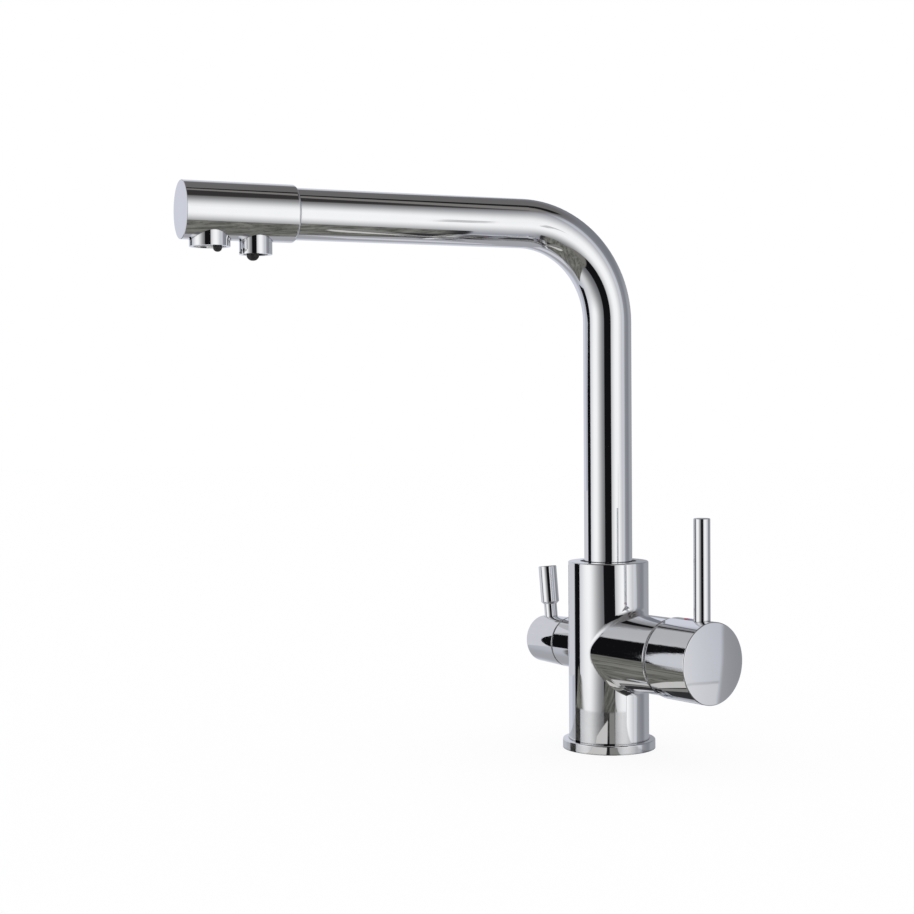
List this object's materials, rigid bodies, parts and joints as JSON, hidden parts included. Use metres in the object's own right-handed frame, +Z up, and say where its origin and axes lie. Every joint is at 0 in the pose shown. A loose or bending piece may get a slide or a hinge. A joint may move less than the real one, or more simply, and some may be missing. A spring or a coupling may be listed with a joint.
{
  "type": "three way filtered water tap",
  "caption": "Deck-mounted kitchen mixer tap with a tall swivelling spout, a side lever mixer, a small filtered-water lever and separate outlets under the spout.",
  "frame": {"origin": "centre of the base's underside, at the mouth of the fixing stud hole, where the tap stands on the worktop", "axes": "+Z up, +X along the mixer valve toward its handle, -X along the filter valve; the spout rests over -Y, turned 14.2 degrees toward -X"},
  "size_m": [0.1628, 0.2752, 0.3195],
  "materials": {
    "polished_chrome": "mirror-polished chrome plating",
    "turned_brass": "turned brass",
    "stainless_steel": "plain stainless steel",
    "black_rubber": "smooth black rubber",
    "pale_plastic": "moulded white plastic",
    "dark_plastic": "dark low-friction plastic",
    "water_tube_plastic": "milky plastic tube",
    "disc_ceramic": "lapped white ceramic",
    "index_red": "glossy red mark",
    "index_blue": "glossy dark blue mark"
  },
  "bodies": {
    "body": {"base_ring": "polished_chrome", "base_seal": "black_rubber", "body_casting": "polished_chrome", "spout_bush": "dark_plastic", "spout_lock_screw": "stainless_steel", "filter_nipple": "turned_brass", "filter_nipple_seal": "black_rubber", "cartridge_housing": "pale_plastic", "cartridge_seals": "black_rubber", "cartridge_fixed_disc": "disc_ceramic", "cartridge_nut": "turned_brass", "cartridge_cover": "polished_chrome", "filter_valve_body": "turned_brass", "filter_valve_seals": "black_rubber", "filter_fixed_disc": "disc_ceramic"},
    "spout": {"spout_tube": "polished_chrome", "spout_foot": "turned_brass", "spout_seals": "black_rubber", "filter_tube_socket": "turned_brass", "filtered_water_tube": "water_tube_plastic", "outlet_head": "polished_chrome", "head_end_cap": "polished_chrome", "head_insert": "pale_plastic", "head_seal": "black_rubber", "mixed_outlet_collar": "polished_chrome", "mixed_outlet_washer": "black_rubber", "mixed_aerator": "pale_plastic", "mixed_drip_tip": "black_rubber", "filtered_outlet_collar": "polished_chrome", "filtered_outlet_washer": "black_rubber", "filtered_aerator": "pale_plastic", "filtered_drip_tip": "black_rubber"},
    "mixer_spindle": {"cartridge_turret": "pale_plastic", "lever_pin": "stainless_steel"},
    "mixing_disc": {"cartridge_moving_disc": "disc_ceramic", "cartridge_disc_carrier": "pale_plastic"},
    "mixer_handle": {"cartridge_stem": "turned_brass", "handle_cup": "polished_chrome", "handle_lever": "polished_chrome", "handle_screw": "stainless_steel", "index_plug_hot": "index_red", "index_plug_cold": "index_blue"},
    "filter_handle": {"filter_spindle": "turned_brass", "filter_moving_disc": "disc_ceramic", "filter_knob": "polished_chrome", "filter_lever": "polished_chrome", "filter_knob_screw": "stainless_steel"}
  },
  "joints": [
    {"name": "spout_swivel", "type": "hinge", "parent": "body", "child": "spout", "pos_m": [0, 0, 0.1], "axis": [0, 0, 1], "continuous": true},
    {"name": "temperature_turn", "type": "hinge", "parent": "body", "child": "mixer_spindle", "pos_m": [0.038, 0, 0.0581], "axis": [1, 0, 0], "range_deg": [-45, 45]},
    {"name": "flow_tilt", "type": "hinge", "parent": "mixer_spindle", "child": "mixer_handle", "pos_m": [0.038, 0, 0.0581], "axis": [0, 1, 0], "range_deg": [0, 20]},
    {"name": "disc_slide", "type": "slide", "parent": "mixer_spindle", "child": "mixing_disc", "axis": [0, 0, 1], "range_m": [0, 0.0028]},
    {"name": "filter_turn", "type": "hinge", "parent": "body", "child": "filter_handle", "pos_m": [-0.047, 0, 0.0581], "axis": [1, 0, 0], "range_deg": [0, 90]}
  ],
  "couplings": [
    {"joint": "disc_slide", "follows": "flow_tilt", "m_per_rad": 0.00784}
  ]
}
